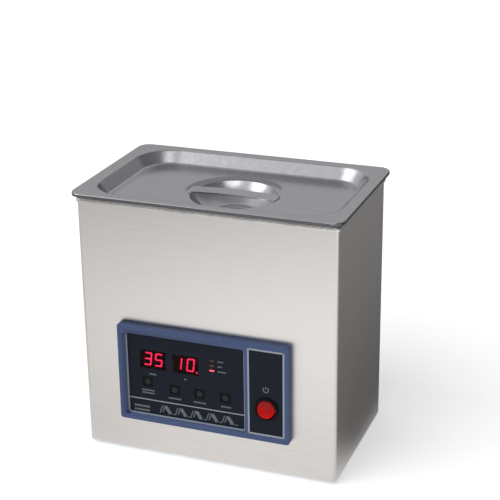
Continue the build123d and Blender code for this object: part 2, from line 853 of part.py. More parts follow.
with BuildPart() as inlet_blades:
    with BuildSketch(front_plane(half_d - inlet_body_depth)):
        with Locations((-socket_at[0], socket_at[1])):
            with Locations(*pin_spots):
                Rectangle(blade_sheet, blade_width)
    extrude(amount=blade_length)
save(inlet_blades, "inlet_blades")

inlet_crosses = cross_drive(rear_plane(inlet_face + pan_head_height), inlet_screw_spots)
with BuildPart() as inlet_screws:
    with BuildSketch(rear_plane(inlet_face)):
        with Locations(*inlet_screw_spots):
            Circle(inlet_head_r)
    extrude(amount=pan_head_height)
    extrude(inlet_crosses, amount=-cross_depth, mode=Mode.SUBTRACT)
    with BuildSketch(rear_plane(inlet_face)):
        with Locations(*inlet_screw_spots):
            Circle(inlet_screw_r)
    extrude(amount=-(inlet_plate + inlet_screw_tail))
save(inlet_screws, "inlet_screws")

# The drawer is an open tray that carries one glass fuse across its back.
tray_wall = 1.2
tray_front = 3.0
tray_back = 2.0
tray_length = drawer_depth - tray_front - tray_back
catch_height = 2.0
catch_out = 1.2
catch_edge = 3.0
fuse_r = 2.6
fuse_setback = 11.0
fuse_edge_r = 0.4
fuse_length = 15.0
with BuildPart() as fuse_drawer:
    with BuildSketch(rear_plane(inlet_face + drawer_face)):
        with Locations(drawer_at):
            Rectangle(drawer_width, drawer_height)
    extrude(amount=-(drawer_depth + drawer_end_gap))
    with BuildSketch(Plane.XY.offset(drawer_at[1] + drawer_height / 2)):
        with Locations((inlet_x, inlet_face - tray_front - tray_length / 2)):
            Rectangle(drawer_width - 2 * tray_wall, tray_length)
    extrude(amount=-(drawer_height - tray_wall), mode=Mode.SUBTRACT)
    # finger catch along the front edge
    with BuildSketch(rear_plane(inlet_face + drawer_face)):
        with Locations((drawer_at[0], drawer_at[1] + (drawer_height - catch_height) / 2)):
            Rectangle(drawer_width - 2 * catch_edge, catch_height)
    extrude(amount=catch_out)
save(fuse_drawer, "fuse_drawer")

fuse_z = drawer_at[1] - drawer_height / 2 + tray_wall + fuse_r
with BuildPart() as fuse:
    with BuildSketch(Plane.YZ.offset(inlet_x)):
        with Locations((inlet_face - fuse_setback, fuse_z)):
            Circle(fuse_r)
    extrude(amount=fuse_length / 2, both=True)
    fillet(fuse.edges().filter_by(GeomType.CIRCLE), fuse_edge_r)
save(fuse, "fuse")

# ---------------------------------------------------------------- ultrasonic drive
# Two bolted transducers, glued under the tank's floor: aluminium horn, two piezo rings
# with electrodes between them, a steel back mass and one long bolt.
horn_bottom = tank_under - glue_gap - horn_height
stack_spots = [(-transducer_spacing / 2, 0), (transducer_spacing / 2, 0)]
bolt_r = 4.0
ring_bore_r = bolt_r + 2.0
horn_bore_r = bolt_r + thread_gap
horn_bore_top = horn_bottom + horn_height / 2
horn_top = tank_under - glue_gap
horn_rim = 4.0
horn_neck = 9.0
with BuildPart() as transducer_horns:
    for x, y in stack_spots:
        with BuildSketch(Plane.XZ):
            with BuildLine():
                Polyline(
                    (x + horn_bore_r, horn_bottom),
                    (x + stack_r, horn_bottom),
                    (x + stack_r, horn_bottom + horn_neck),
                    (x + horn_r, horn_top - horn_rim),
                    (x + horn_r, horn_top),
                    (x, horn_top),
                    (x, horn_bore_top),
                    (x + horn_bore_r, horn_bore_top),
                    close=True,
                )
            make_face()
        revolve(axis=Axis((x, y, 0), (0, 0, 1)))
save(transducer_horns, "transducer_horns")

piezo_tops = (horn_bottom - electrode_sheet, horn_bottom - 2 * electrode_sheet - piezo_height)
with BuildPart() as piezo_rings:
    for top in piezo_tops:
        with BuildSketch(Plane.XY.offset(top)):
            with Locations(*stack_spots):
                Circle(stack_r)
                Circle(ring_bore_r, mode=Mode.SUBTRACT)
        extrude(amount=-piezo_height)
save(piezo_rings, "piezo_rings")

electrode_tops = (horn_bottom, piezo_tops[0] - piezo_height, piezo_tops[1] - piezo_height)
electrode_tab = 7.0
electrode_tab_width = 4.0
with BuildPart() as electrodes:
    for top in electrode_tops:
        with BuildSketch(Plane.XY.offset(top)):
            with Locations(*stack_spots):
                Circle(stack_r)
                with Locations((0, stack_r)):
                    Rectangle(electrode_tab_width, 2 * electrode_tab)
                Circle(ring_bore_r, mode=Mode.SUBTRACT)
        extrude(amount=-electrode_sheet)
save(electrodes, "electrodes")

mass_top = electrode_tops[2] - electrode_sheet
mass_bottom = mass_top - back_mass_height
mass_edge = 1.0
with BuildPart() as back_masses:
    with BuildSketch(Plane.XY.offset(mass_top)):
        with Locations(*stack_spots):
            Circle(stack_r)
            Circle(bolt_r + fit_gap, mode=Mode.SUBTRACT)
    extrude(amount=-back_mass_height)
    mass_rims = back_masses.faces().group_by(Axis.Z)[0].edges().group_by(SortBy.RADIUS)[-1]
    chamfer(mass_rims, mass_edge)
save(back_masses, "back_masses")

bolt_head_r = 6.5
bolt_head_height = 8.0
bolt_end_gap = 1.0
hex_key_r = 3.0
hex_key_depth = 4.0
with BuildPart() as transducer_bolts:
    with BuildSketch(Plane.XY.offset(mass_bottom)):
        with Locations(*stack_spots):
            Circle(bolt_head_r)
    extrude(amount=-bolt_head_height)
    with BuildSketch(Plane.XY.offset(mass_bottom - bolt_head_height)):
        with Locations(*stack_spots):
            RegularPolygon(hex_key_r, 6, major_radius=False)
    extrude(amount=hex_key_depth, mode=Mode.SUBTRACT)
    with BuildSketch(Plane.XY.offset(mass_bottom)):
        with Locations(*stack_spots):
            Circle(bolt_r)
    extrude(amount=horn_bore_top - bolt_end_gap - mass_bottom)
save(transducer_bolts, "transducer_bolts")

# ---------------------------------------------------------------- heating
# A silicone heating mat on the back wall of the tank, with its two thermal parts.
heater_width = 150.0
heater_floor_gap = 6.0
heater_top_gap = 22.0
heater_thick = 1.5
heater_y = tank_half_y + tank_sheet
heater_corner_r = 3.0
heater_bottom = tank_floor + tank_floor_r + heater_floor_gap
heater_height = flange_top - heater_top_gap - heater_bottom
with BuildPart() as heating_mat:
    with BuildSketch(rear_plane(heater_y)):
        with Locations((0, heater_bottom + heater_height / 2)):
            RectangleRounded(heater_width, heater_height, heater_corner_r)
    extrude(amount=heater_thick)
save(heating_mat, "heating_mat")

# Round thermal cut-out under the floor of the tank, on a thin clip, with two blades.
cutout_r = 8.0
cutout_y = 34.0
clip_length = 24.0
clip_width = 8.0
clip_sheet = 1.2
cutout_body_r = 7.5
cutout_height = 7.0
cutout_blade_step = 9.0
cutout_blade_width = 4.8
with BuildPart() as thermal_cutout:
    with BuildSketch(Plane.XY.offset(tank_under)):
        with Locations((0, cutout_y)):
            Circle(cutout_r)
            Rectangle(clip_length, clip_width)
    extrude(amount=-clip_sheet)
    with BuildSketch(Plane.XY.offset(tank_under - clip_sheet)):
        with Locations((0, cutout_y)):
            Circle(cutout_body_r)
    extrude(amount=-cutout_height)
    with BuildSketch(Plane.XY.offset(tank_under - clip_sheet - cutout_height)):
        with Locations((0, cutout_y)):
            with GridLocations(cutout_blade_step, 0, 2, 1):
                Rectangle(blade_sheet, cutout_blade_width)
    extrude(amount=-blade_length)
save(thermal_cutout, "thermal_cutout")

# Temperature probe: a small tube under a pad on the floor.
probe_y = -36.0
probe_r = 2.5
probe_length = 22.0
probe_sink = 0.1
pad_length = 24.0
pad_width = 10.0
pad_corner_r = 2.0
pad_sheet = 1.5
with BuildPart() as temperature_probe:
    with BuildSketch(Plane.XY.offset(tank_under)):
        with Locations((0, probe_y)):
            RectangleRounded(pad_length, pad_width, pad_corner_r)
    extrude(amount=-pad_sheet)
    with BuildSketch(Plane.YZ):
        with Locations((probe_y, tank_under - pad_sheet - probe_r + probe_sink)):
            Circle(probe_r)
    extrude(amount=probe_length / 2, both=True)
save(temperature_probe, "temperature_probe")

# ---------------------------------------------------------------- drive electronics
generator_x = -10.0
generator_y = 14.0
generator_width = 150.0
generator_depth = 90.0
generator_lift = 8.0
generator_edge = 6.0
generator_z = base_z + case_sheet + generator_lift
post_r = 3.0
post_screw_r = 1.5
post_screw_tail = 6.0
generator_corners = [
    (generator_x + sx * (generator_width / 2 - generator_edge),
     generator_y + sy * (generator_depth / 2 - generator_edge))
    for sx in (-1, 1)
    for sy in (-1, 1)
]
with BuildPart() as board_posts:
    with BuildSketch(Plane.XY.offset(base_z + case_sheet)):
        with Locations(*generator_corners):
            RegularPolygon(post_r, 6, major_radius=False)
            Circle(post_screw_r + thread_gap, mode=Mode.SUBTRACT)
    extrude(amount=generator_lift)
save(board_posts, "board_posts")

with BuildPart() as generator_board:
    with BuildSketch(Plane.XY.offset(generator_z)):
        with Locations((generator_x, generator_y)):
            Rectangle(generator_width, generator_depth)
        with Locations(*generator_corners):
            Circle(post_screw_r + fit_gap, mode=Mode.SUBTRACT)
    extrude(amount=board_thick)
save(generator_board, "generator_board")

board_top = generator_z + board_thick
post_crosses = cross_drive(Plane.XY.offset(board_top + pan_head_height), generator_corners)
with BuildPart() as post_screws:
    with BuildSketch(Plane.XY.offset(board_top)):
        with Locations(*generator_corners):
            Circle(pan_head_r)
    extrude(amount=pan_head_height)
    extrude(post_crosses, amount=-cross_depth, mode=Mode.SUBTRACT)
    with BuildSketch(Plane.XY.offset(board_top)):
        with Locations(*generator_corners):
            Circle(post_screw_r)
    extrude(amount=-(board_thick + post_screw_tail))
save(post_screws, "post_screws")

# Pieces on the generator board, each placed from the board's centre.
core_width = 30.0
core_depth = 12.0
core_height = 26.0
core_window_x = 6.0
core_window_width = 7.0
core_window_height = 16.0
bobbin_gap = 0.2
core_spot = (generator_x - 34.0, generator_y + 16.0)
with BuildPart() as transformer_core:
    with BuildSketch(Plane.XZ.offset(-(core_spot[1] + core_depth / 2))):
        with Locations((core_spot[0], board_top + core_height / 2)):
            Rectangle(core_width, core_height)
            with GridLocations(2 * core_window_x, 0, 2, 1):
                Rectangle(core_window_width, core_window_height, mode=Mode.SUBTRACT)
    extrude(amount=core_depth)
save(transformer_core, "transformer_core")

winding_corner_r = 2.0
winding_thick = core_window_width - 2 * bobbin_gap
winding_height = core_window_height - 2 * bobbin_gap
winding_z = board_top + (core_height - winding_height) / 2
winding_width = 2 * core_window_x - core_window_width + 2 * bobbin_gap
with BuildPart() as transformer_winding:
    with BuildSketch(Plane.XY.offset(winding_z)):
        with Locations(core_spot):
            RectangleRounded(
                winding_width + 2 * winding_thick, core_depth + 2 * winding_thick, winding_corner_r
            )
            Rectangle(winding_width, core_depth + 2 * bobbin_gap, mode=Mode.SUBTRACT)
    extrude(amount=winding_height)
save(transformer_winding, "transformer_winding")

capacitor_spots = [
    (generator_x + x, generator_y + y) for x, y in ((-6.0, 26.0), (12.0, 26.0), (-6.0, 8.0))
]
capacitor_r = 8.0
capacitor_height = 26.0
capacitor_edge_r = 0.8
with BuildPart() as capacitors:
    with BuildSketch(Plane.XY.offset(board_top)):
        with Locations(*capacitor_spots):
            Circle(capacitor_r)
    extrude(amount=capacitor_height)
    fillet(capacitors.edges().filter_by(GeomType.CIRCLE), capacitor_edge_r)
save(capacitors, "capacitors")

# A finned heatsink, with a power transistor on its flat side at each end.
sink_x = generator_x + 40.0
sink_sheet = 3.0
sink_length = 62.0
sink_height = 34.0
fin_count = 7
fin_step = 9.0
fin_sheet = 1.4
fin_length = 16.5
fin_root = 0.25
with BuildPart() as heatsink:
    with BuildSketch(Plane.XY.offset(board_top)):
        with Locations((sink_x, generator_y)):
            Rectangle(sink_sheet, sink_length)
            with Locations((sink_sheet / 2 + fin_length / 2 - fin_root, 0)):
                with GridLocations(0, fin_step, 1, fin_count):
                    Rectangle(fin_length, fin_sheet)
    extrude(amount=sink_height)
save(heatsink, "heatsink")

transistor_step = 36.0
transistor_width = 15.5
transistor_height = 20.0
transistor_thick = 4.8
transistor_lift = 6.0
leg_step = 5.4
leg_width = 1.2
leg_sheet = 0.6
leg_setback = 2.5
sink_face = sink_x - sink_sheet / 2
with BuildPart() as power_transistors:
    with BuildSketch(Plane.YZ.offset(sink_face)):
        with Locations((generator_y, board_top + transistor_lift + transistor_height / 2)):
            with GridLocations(transistor_step, 0, 2, 1):
                Rectangle(transistor_width, transistor_height)
    extrude(amount=-transistor_thick)
    with BuildSketch(Plane.YZ.offset(sink_face - leg_setback)):
        with Locations((generator_y, board_top + transistor_lift / 2)):
            with GridLocations(transistor_step, 0, 2, 1):
                with GridLocations(leg_step, 0, 3, 1):
                    Rectangle(leg_width, transistor_lift)
    extrude(amount=-leg_sheet)
save(power_transistors, "power_transistors")

relay_spot = (generator_x - 36.0, generator_y - 24.0)
relay_width = 28.0
relay_depth = 13.0
relay_height = 25.0
relay_edge_r = 0.8
with BuildPart() as relay:
    with BuildSketch(Plane.XY.offset(board_top)):
        with Locations(relay_spot):
            Rectangle(relay_width, relay_depth)
    extrude(amount=relay_height)
    fillet(relay.faces().sort_by(Axis.Z)[-1].edges(), relay_edge_r)
save(relay, "relay")

terminal_spot = (generator_x + 6.0, generator_y - 34.0)
terminal_width = 44.0
terminal_depth = 12.0
terminal_height = 14.0
port_count = 5
port_step = 7.4
port_width = 4.6
port_height = 5.0
port_depth = 6.0
port_screw_r = 2.0
port_screw_depth = 3.0
with BuildPart() as terminal_block:
    with BuildSketch(Plane.XY.offset(board_top)):
        with Locations(terminal_spot):
            Rectangle(terminal_width, terminal_depth)
    extrude(amount=terminal_height)
    with BuildSketch(Plane.XZ.offset(-(terminal_spot[1] - terminal_depth / 2))):
        with Locations((terminal_spot[0], board_top + port_height)):
            with GridLocations(port_step, 0, port_count, 1):
                Rectangle(port_width, port_height)
    extrude(amount=-port_depth, mode=Mode.SUBTRACT)
    with BuildSketch(Plane.XY.offset(board_top + terminal_height)):
        with Locations(terminal_spot):
            with GridLocations(port_step, 0, port_count, 1):
                Circle(port_screw_r)
    extrude(amount=-port_screw_depth, mode=Mode.SUBTRACT)
save(terminal_block, "terminal_block")

# Flat cable from the control board down to the generator board, with a plug at each end.
ribbon_width = 16.0
ribbon_thick = 0.9
ribbon_bend = 4.0
ribbon_reach = 9.0
ribbon_rise = 16.0
ribbon_x = -40.0
plug_lip = 2.0
plug_height = 6.0
plug_depth = 7.0
top_plug_rise = 8.0
low_plug_inset = 5.0
top_plug_z = window_z - board_height / 2 + top_plug_rise
low_plug_y = generator_y - generator_depth / 2 + low_plug_inset
with BuildPart() as cable_plugs:
    with BuildSketch(rear_plane(board_y + board_thick)):
        with Locations((-ribbon_x, top_plug_z)):
            Rectangle(ribbon_width + 2 * plug_lip, plug_height)
    extrude(amount=plug_depth)
    with BuildSketch(Plane.XY.offset(board_top)):
        with Locations((ribbon_x, low_plug_y)):
            Rectangle(ribbon_width + 2 * plug_lip, plug_height)
    extrude(amount=plug_depth)
save(cable_plugs, "cable_plugs")

ribbon_start_y = board_y + board_thick + plug_depth + ribbon_thick / 2
ribbon_end_z = board_top + plug_depth + ribbon_thick / 2
with BuildPart() as ribbon_cable:
    with BuildSketch(Plane.YZ.offset(ribbon_x)):
        with BuildLine():
            FilletPolyline(
                (ribbon_start_y, top_plug_z),
                (ribbon_start_y + ribbon_reach, top_plug_z),
                (ribbon_start_y + ribbon_reach, ribbon_end_z + ribbon_rise),
                (low_plug_y, ribbon_end_z + ribbon_rise),
                (low_plug_y, ribbon_end_z),
                radius=ribbon_bend,
            )
            offset(amount=ribbon_thick / 2, kind=Kind.INTERSECTION, side=Side.BOTH)
        make_face()
    extrude(amount=ribbon_width / 2, both=True)
save(ribbon_cable, "ribbon_cable")
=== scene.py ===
import json
import math

import bmesh
import bpy
from mathutils import Matrix, Vector

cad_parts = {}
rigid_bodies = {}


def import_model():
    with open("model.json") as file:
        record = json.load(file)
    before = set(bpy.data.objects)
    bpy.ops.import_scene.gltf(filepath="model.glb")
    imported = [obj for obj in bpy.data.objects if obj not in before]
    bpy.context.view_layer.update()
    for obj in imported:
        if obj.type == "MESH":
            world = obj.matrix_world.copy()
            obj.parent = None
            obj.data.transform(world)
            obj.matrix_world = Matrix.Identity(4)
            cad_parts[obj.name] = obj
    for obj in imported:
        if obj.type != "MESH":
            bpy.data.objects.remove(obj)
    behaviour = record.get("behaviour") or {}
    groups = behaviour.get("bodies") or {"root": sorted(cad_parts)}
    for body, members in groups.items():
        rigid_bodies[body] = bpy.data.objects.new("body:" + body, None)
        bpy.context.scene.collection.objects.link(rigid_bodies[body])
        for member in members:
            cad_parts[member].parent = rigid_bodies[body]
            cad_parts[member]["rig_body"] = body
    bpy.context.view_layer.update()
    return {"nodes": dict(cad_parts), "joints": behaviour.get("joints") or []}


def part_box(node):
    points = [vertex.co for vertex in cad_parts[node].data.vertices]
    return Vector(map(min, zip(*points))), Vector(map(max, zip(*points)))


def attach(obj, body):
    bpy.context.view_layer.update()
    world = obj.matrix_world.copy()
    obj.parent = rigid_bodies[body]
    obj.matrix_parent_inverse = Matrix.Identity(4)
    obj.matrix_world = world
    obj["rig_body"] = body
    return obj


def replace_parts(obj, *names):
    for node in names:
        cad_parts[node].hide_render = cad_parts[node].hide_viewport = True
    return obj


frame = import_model()
MM = 0.001

# ------------------------------------------------------------------ camera
# It stands to the right of the case's front and above the lid, with a long lens, and
# looks a little past the middle of the case.
camera_turn = math.radians(20.747)
camera_rise = math.radians(21.292)
camera_roll = math.radians(-0.718)
camera_distance = 1390.1 * MM
camera_right = 12.6 * MM
camera_up = 176.2 * MM
camera_lens = 98.69

housing_foot = Vector((0, 0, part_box("base_plate")[0].z))
back = Vector((
    math.sin(camera_turn) * math.cos(camera_rise),
    -math.cos(camera_turn) * math.cos(camera_rise),
    math.sin(camera_rise),
))
level = Vector((math.cos(camera_turn), math.sin(camera_turn), 0))
steep = back.cross(level)
right = math.cos(camera_roll) * level + math.sin(camera_roll) * steep
up = -math.sin(camera_roll) * level + math.cos(camera_roll) * steep
camera = bpy.data.objects.new("camera", bpy.data.cameras.new("camera"))
camera.data.lens = camera_lens
camera.matrix_world = Matrix((right, up, back)).transposed().to_4x4()
camera.location = housing_foot + back * camera_distance + right * camera_right + up * camera_up
bpy.context.scene.collection.objects.link(camera)
bpy.context.scene.camera = camera

# ------------------------------------------------------------------ floor and light
# A white studio table without an edge in view, and one large soft key light from the
# upper left. The metal mirrors the studio round it: two soft boxes in front, a bright
# ceiling, and a dark end on the right.
key_direction = Vector((-0.40, -0.62, 0.68))
key_power = 1.75
key_spread = math.radians(60)
room_level = 0.46
soft_boxes = ((Vector((-0.72, -0.42, 0.55)), 1.5), (Vector((0.30, -0.72, 0.62)), 1.1))
table_size = 12.0
table_white = 0.93
table_lift = 0.34


def linear(colour):
    """Turn an sRGB hex value into the linear colour that a shader takes."""
    parts = [int(colour[i:i + 2], 16) / 255 for i in (1, 3, 5)]
    return [c / 12.92 if c <= 0.04045 else ((c + 0.055) / 1.055) ** 2.4 for c in parts] + [1.0]


def add(tree, kind, settings=(), links=()):
    """Add one node with its settings and its links."""
    node = tree.nodes.new("ShaderNode" + kind)
    for key, value in dict(settings).items():
        if isinstance(key, int) or key in node.inputs:
            node.inputs[key].default_value = value
        else:
            setattr(node, key, value)
    for key, socket in dict(links).items():
        tree.links.new(socket, node.inputs[key])
    return node


scene = bpy.context.scene
scene.view_settings.view_transform = "Standard"
world = bpy.data.worlds.new("studio")
scene.world = world
world.use_nodes = True
room = world.node_tree
room.nodes.clear()
eased = {"interpolation_type": "SMOOTHSTEP"}
product = {"operation": "MULTIPLY"}
ray = add(room, "LightPath")
heading = add(room, "TexCoord").outputs["Generated"]
toward_key = add(room, "VectorMath", {
    "operation": "DOT_PRODUCT", 1: key_direction.normalized()}, {0: heading})
ceiling = add(room, "MapRange", eased | {
    "From Min": -0.05, "From Max": 1.0, "To Min": 0.50, "To Max": 0.80},
    {"Value": toward_key.outputs["Value"]})
high = add(room, "SeparateXYZ", (), {"Vector": heading})
horizon = add(room, "MapRange", eased | {
    "From Min": 0.02, "From Max": 0.36, "To Min": 0.12, "To Max": 1.0},
    {"Value": high.outputs["Z"]})
# the dark end of the studio is on the right, and the ceiling overhead is unlit
rightward = add(room, "MapRange", eased | {
    "From Min": 0.05, "From Max": 0.65, "To Min": 1.0, "To Max": 0.35},
    {"Value": high.outputs["X"]})
overhead = add(room, "MapRange", eased | {
    "From Min": 0.78, "From Max": 1.0, "To Min": 1.0, "To Max": 0.45},
    {"Value": high.outputs["Z"]})
shaded = add(room, "Math", product, {0: rightward.outputs["Result"], 1: overhead.outputs["Result"]})
lit_room = add(room, "Math", product, {0: ceiling.outputs["Result"], 1: horizon.outputs["Result"]})
studio = add(room, "Math", product, {0: lit_room.outputs[0], 1: shaded.outputs[0]})
for box_direction, box_level in soft_boxes:
    toward_box = add(room, "VectorMath", {
        "operation": "DOT_PRODUCT", 1: box_direction.normalized()}, {0: heading})
    soft_box = add(room, "MapRange", eased | {
        "From Min": 0.90, "From Max": 0.985, "To Min": 0.0, "To Max": box_level},
        {"Value": toward_box.outputs["Value"]})
    studio = add(room, "Math", {"operation": "ADD"},
                 {0: studio.outputs[0], 1: soft_box.outputs["Result"]})
mirrored = add(room, "Mix", {2: room_level},
               {0: ray.outputs["Is Glossy Ray"], 3: studio.outputs[0]})
seen = add(room, "Mix", {3: 1.0}, {0: ray.outputs["Is Camera Ray"], 2: mirrored.outputs[0]})
glow = add(room, "Background", {"Color": (1, 1, 1, 1)}, {"Strength": seen.outputs[0]})
add(room, "OutputWorld", (), {"Surface": glow.outputs["Background"]})

# The key's own disc would show as a hard edge in the metal, so only the room is mirrored.
key = bpy.data.objects.new("key_light", bpy.data.lights.new("key_light", "SUN"))
key.data.energy = key_power
key.data.angle = key_spread
key.visible_glossy = False
key.rotation_euler = key_direction.to_track_quat("Z", "Y").to_euler()
scene.collection.objects.link(key)

table_mesh = bmesh.new()
bmesh.ops.create_grid(table_mesh, x_segments=1, y_segments=1, size=0.5)
bmesh.ops.scale(table_mesh, vec=(table_size, table_size, 1), verts=table_mesh.verts)
table_data = bpy.data.meshes.new("table")
table_mesh.to_mesh(table_data)
table_mesh.free()
table = bpy.data.objects.new("table", table_data)
scene.collection.objects.link(table)

# In the metal's reflections the table is bright close by and dims away from the case, and
# it is dark on the right, where the studio's dark end stands behind it.
paint = bpy.data.materials.new("matt white table")
paint.use_nodes = True
paint.node_tree.nodes.clear()
table_tree = paint.node_tree
ray = add(table_tree, "LightPath")
place = add(table_tree, "TexCoord")
spot = add(table_tree, "SeparateXYZ", (), {"Vector": place.outputs["Object"]})
near = add(table_tree, "MapRange", eased | {
    "From Min": -1.2, "From Max": -0.45, "To Min": 0.55, "To Max": 1.26},
    {"Value": spot.outputs["Y"]})
left_fall = add(table_tree, "MapRange", {
    "From Min": -0.45, "From Max": -0.06, "To Min": 0.68, "To Max": 1.0},
    {"Value": spot.outputs["X"]})
close_by = add(table_tree, "MapRange", eased | {
    "From Min": -0.42, "From Max": -0.10, "To Min": 1.0, "To Max": 0.76},
    {"Value": spot.outputs["Y"]})
both_falls = add(table_tree, "Math", product,
                 {0: left_fall.outputs["Result"], 1: close_by.outputs["Result"]})
front_level = add(table_tree, "Math", product,
                  {0: near.outputs["Result"], 1: both_falls.outputs[0]})
dark_end = add(table_tree, "MapRange", {
    "From Min": 0.13, "From Max": 0.42, "To Min": 0.10, "To Max": 0.29},
    {"Value": spot.outputs["X"]})
past_side = add(table_tree, "MapRange", eased | {"From Min": 0.10, "From Max": 0.15},
                {"Value": spot.outputs["X"]})
past_front = add(table_tree, "MapRange", eased | {"From Min": -0.12, "From Max": 0.03},
                 {"Value": spot.outputs["Y"]})
corner = add(table_tree, "Math", product,
             {0: past_side.outputs["Result"], 1: past_front.outputs["Result"]})
level_seen = add(table_tree, "Mix", (), {
    0: corner.outputs[0], 2: front_level.outputs[0], 3: dark_end.outputs["Result"]})
lift = add(table_tree, "Mix", {2: 0.0, 3: table_lift}, {0: ray.outputs["Is Camera Ray"]})
matt = add(table_tree, "BsdfDiffuse", {"Color": (table_white, table_white, table_white, 1)})
lifted = add(table_tree, "Emission", (), {"Strength": lift.outputs[0]})
open_table = add(table_tree, "AddShader", (), {0: matt.outputs[0], 1: lifted.outputs[0]})
in_metal = add(table_tree, "Emission", (), {"Strength": level_seen.outputs[0]})
either = add(table_tree, "MixShader", (), {
    0: ray.outputs["Is Glossy Ray"], 1: open_table.outputs[0], 2: in_metal.outputs[0]})
add(table_tree, "OutputMaterial", (), {"Surface": either.outputs[0]})
table.data.materials.append(paint)

# ------------------------------------------------------------------ case sheet metal
# Front and sides are one bent sheet, with a flat panel screwed on at the back and a
# galvanised tray below. The stainless sheet is belt-brushed along its length, which
# leaves fine lines and a broad, soft reflection.
noise_low = 0.3
noise_high = 0.7
weld_gap = 0.001 * MM
sharpest_bend = math.radians(32)
nodes = frame["nodes"]


def surface(name, dark, light, roughness, grain, stretch=(1, 1, 1), spread=0.05, bump=0.1,
            depth=0.02 * MM, **settings):
    """A material whose colour, roughness and height follow one noise pattern.

    grain is the pattern's real size in metres, and stretch how much longer it runs along
    each axis. settings are constants for the shader's own sockets.
    """
    material = bpy.data.materials.new(name)
    material.use_nodes = True
    tree = material.node_tree
    shader = tree.nodes["Principled BSDF"]
    where = add(tree, "TexCoord")
    scaled = add(tree, "Mapping", {"Scale": [1 / (grain * s) for s in stretch]},
                 {"Vector": where.outputs["Object"]})
    pattern = add(tree, "TexNoise", {"Scale": 1.0, "Detail": 3.0, "Roughness": 0.6},
                  {"Vector": scaled.outputs[0]})
    tint = add(tree, "ValToRGB", (), {"Fac": pattern.outputs["Fac"]})
    for element, colour, at in zip(tint.color_ramp.elements, (dark, light),
                                   (noise_low, noise_high)):
        element.color = linear(colour)
        element.position = at
    tree.links.new(tint.outputs["Color"], shader.inputs["Base Color"])
    rough = add(tree, "MapRange", {"From Min": noise_low, "From Max": noise_high,
                                   "To Min": roughness - spread, "To Max": roughness + spread},
                {"Value": pattern.outputs["Fac"]})
    tree.links.new(rough.outputs["Result"], shader.inputs["Roughness"])
    relief = add(tree, "Bump", {"Strength": bump, "Distance": depth},
                 {"Height": pattern.outputs["Fac"]})
    tree.links.new(relief.outputs["Normal"], shader.inputs["Normal"])
    for key_name, value in settings.items():
        shader.inputs[key_name.replace("_", " ")].default_value = value
    return material


def dress(material, *names):
    """Give CAD nodes their finish."""
    for node_name in names:
        nodes[node_name].data.materials.clear()
        nodes[node_name].data.materials.append(material)


def piece(name, mesh, material, body, smooth=False):
    """Turn a finished bmesh into a piece that rides on a body."""
    data = bpy.data.meshes.new(name)
    for face in mesh.faces:
        face.smooth = smooth
    mesh.to_mesh(data)
    mesh.free()
    data.materials.append(material)
    made = bpy.data.objects.new(name, data)
    scene.collection.objects.link(made)
    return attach(made, body)


def smooth_copy(material, *names):
    """Give CAD nodes their finish on a merged copy, whose bends are shaded as smooth."""
    for node_name in names:
        mesh = bmesh.new()
        mesh.from_mesh(nodes[node_name].data)
        bmesh.ops.remove_doubles(mesh, verts=mesh.verts, dist=weld_gap)
        copy = piece(node_name + "_finish", mesh, material, nodes[node_name]["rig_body"],
                     True)
        copy.data.set_sharp_from_angle(angle=sharpest_bend)
        shading = copy.modifiers.new("shading", "WEIGHTED_NORMAL")
        shading.keep_sharp = True
        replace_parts(copy, node_name)


# The real lines are about 0.1 mm apart, too fine to show, so they are drawn 0.9 mm apart.
brushed = surface("stainless steel, belt brushed", "#D9D5D1", "#E2DEDB", 0.36, 0.9 * MM,
                  stretch=(34, 34, 1), spread=0.04, bump=0.10, Metallic=1.0, Anisotropic=0.45)
tangent = add(brushed.node_tree, "Tangent", {"direction_type": "RADIAL", "axis": "Z"})
brushed.node_tree.links.new(tangent.outputs[0],
                            brushed.node_tree.nodes["Principled BSDF"].inputs["Tangent"])
smooth_copy(brushed, "case_wrap")
dress(brushed, "rear_panel")
# Zinc crystals about 9 mm across give the tray a mottled, duller grey.
galvanised = surface("steel, hot-dip galvanised", "#9EA3A5", "#C2C6C8", 0.46, 9 * MM, spread=0.12,
                     Metallic=1.0)
dress(galvanised, "base_plate")

# ------------------------------------------------------------------ screws and nuts
# Pressed steel screws with a cross recess, and nuts, which hold the rear panel, the feet,
# the inlet and the boards. Their zinc plating is bright and slightly blue.
zinc = surface("steel screws, zinc plated", "#B9BDC4", "#DADDE2", 0.27, 0.8 * MM, Metallic=1.0)
smooth_copy(zinc, "rear_screws", "foot_screws", "inlet_screws")
dress(zinc, "foot_nuts", "board_screws", "post_screws")

# ------------------------------------------------------------------ feet and gasket
# Moulded rubber feet, one at each corner of the tray with a screw through it, and a soft
# ring under the tank's flange. The rubber is dull, with a dusty bloom.
rubber = surface("nitrile rubber, moulded", "#17171A", "#2A2A2D", 0.78, 1.5 * MM, bump=0.3)
smooth_copy(rubber, "feet")
dress(rubber, "tank_gasket")

# ------------------------------------------------------------------ tank
# One deep-drawn stainless bowl, whose flange rests on the case with the lid above it. It
# is smooth, with faint drawing marks that run down its walls and a soft bloom inside.
drawn = surface("stainless steel, deep drawn", "#C9C8C6", "#E6E4E0", 0.24, 14 * MM,
                stretch=(1, 1, 2.5), bump=0.12, depth=0.2 * MM, Metallic=1.0)
smooth_copy(drawn, "tank")

# ------------------------------------------------------------------ lid
# Pressed stainless pan with a sunk well and a round dish, and a flat strap welded across
# the dish as its handle. It is satin all over, without lines. The outer faces of the rim's
# rolled edge are painted darker, as painted shade for the shadowed gap under the rim.
pressed = surface("stainless steel, pressed and satin finished", "#C2C1C6", "#CBCACF", 0.19, 5 * MM,
                  spread=0.015, bump=0.0, depth=0.03 * MM, Metallic=1.0)
smooth_copy(pressed, "lid_pan", "lid_strap")
